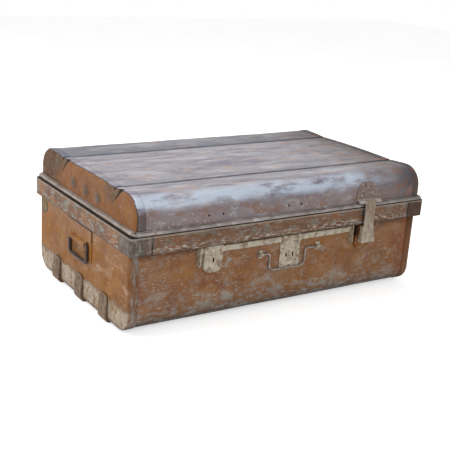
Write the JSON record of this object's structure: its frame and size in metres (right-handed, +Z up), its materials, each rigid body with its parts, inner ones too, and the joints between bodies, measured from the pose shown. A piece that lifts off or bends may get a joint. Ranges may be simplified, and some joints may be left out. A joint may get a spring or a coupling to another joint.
{
  "type": "storage trunk",
  "caption": "Painted sheet-steel travelling trunk with a hinged grooved lid, a rim band, a sliding locking bar, a hasp, drop handles and skid straps.",
  "frame": {"origin": "below the trunk's middle, on the underside of the middle skid strap", "axes": "+X along the length to the end with the hasp, -Y to the front, +Z up"},
  "size_m": [0.77, 0.5015, 0.289],
  "materials": {
    "tan_paint": "worn orange-tan paint",
    "lid_steel": "paint worn to grey steel",
    "band_steel": "mottled brown and grey",
    "bead_steel": "rubbed bare tinned steel",
    "cream_fitting": "chipped cream paint",
    "strap_steel": "rusty brown",
    "wire_steel": "dull wire",
    "dark_steel": "dark rust"
  },
  "bodies": {
    "trunk": {"body_wrap": "tan_paint", "body_end_left": "tan_paint", "body_end_right": "tan_paint", "rim_lip": "tan_paint", "band_front": "band_steel", "band_back": "band_steel", "band_end_left": "band_steel", "band_end_right": "band_steel", "skid_front": "strap_steel", "skid_middle": "strap_steel", "skid_back": "strap_steel", "catch_left": "cream_fitting", "catch_right": "cream_fitting", "lock_plate": "cream_fitting", "lock_case": "lid_steel", "bar_keeper_left": "cream_fitting", "bar_keeper_right": "cream_fitting", "front_handle_clip_left": "wire_steel", "front_handle_clip_right": "wire_steel", "handle_plate_left": "tan_paint", "handle_plate_right": "tan_paint", "handle_clamp_left": "tan_paint", "handle_clamp_right": "tan_paint", "hinge_lower_left": "lid_steel", "hinge_lower_right": "lid_steel", "hinge_pin_left": "dark_steel", "hinge_pin_right": "dark_steel", "skid_rivet_front_left": "dark_steel", "skid_rivet_front_right": "dark_steel", "skid_rivet_middle_left": "dark_steel", "skid_rivet_middle_right": "dark_steel", "skid_rivet_back_left": "dark_steel", "skid_rivet_back_right": "dark_steel", "handle_rivet_left_front": "dark_steel", "handle_rivet_left_back": "dark_steel", "handle_rivet_right_front": "dark_steel", "handle_rivet_right_back": "dark_steel"},
    "lid": {"lid_wrap": "lid_steel", "lid_end_left": "lid_steel", "lid_end_right": "lid_steel", "lid_bead_front": "bead_steel", "lid_bead_back": "bead_steel", "lid_bead_left": "bead_steel", "lid_bead_right": "bead_steel", "lid_rim_wire": "dark_steel", "hinge_upper_left": "lid_steel", "hinge_upper_right": "lid_steel", "hasp_plate": "lid_steel", "hasp_pin": "dark_steel", "hasp_rivet_left": "dark_steel", "hasp_rivet_right": "dark_steel", "hasp_rivet_top": "dark_steel"},
    "hasp": {"hasp_strap": "cream_fitting"},
    "locking_bar": {"lock_bar": "cream_fitting"},
    "front_handle": {"front_bail": "wire_steel"},
    "left_handle": {"end_bail_left": "dark_steel"},
    "right_handle": {"end_bail_right": "dark_steel"}
  },
  "joints": [
    {"name": "lid_hinge", "type": "hinge", "parent": "trunk", "child": "lid", "pos_m": [0, 0.2465, 0.218], "axis": [-1, 0, 0], "range_deg": [0, 105]},
    {"name": "hasp_hinge", "type": "hinge", "parent": "lid", "child": "hasp", "pos_m": [0.208, -0.2445, 0.228], "axis": [-1, 0, 0], "range_deg": [0, 150]},
    {"name": "lock_bar_slide", "type": "slide", "parent": "trunk", "child": "locking_bar", "axis": [1, 0, 0], "range_m": [0, 0.012]},
    {"name": "front_handle_swing", "type": "hinge", "parent": "trunk", "child": "front_handle", "pos_m": [0.005, -0.225, 0.134], "axis": [-1, 0, 0], "range_deg": [0, 90]},
    {"name": "left_handle_swing", "type": "hinge", "parent": "trunk", "child": "left_handle", "pos_m": [-0.3797, 0, 0.136], "axis": [0, 1, 0], "range_deg": [0, 90]},
    {"name": "right_handle_swing", "type": "hinge", "parent": "trunk", "child": "right_handle", "pos_m": [0.3797, 0, 0.136], "axis": [0, -1, 0], "range_deg": [0, 90]}
  ]
}
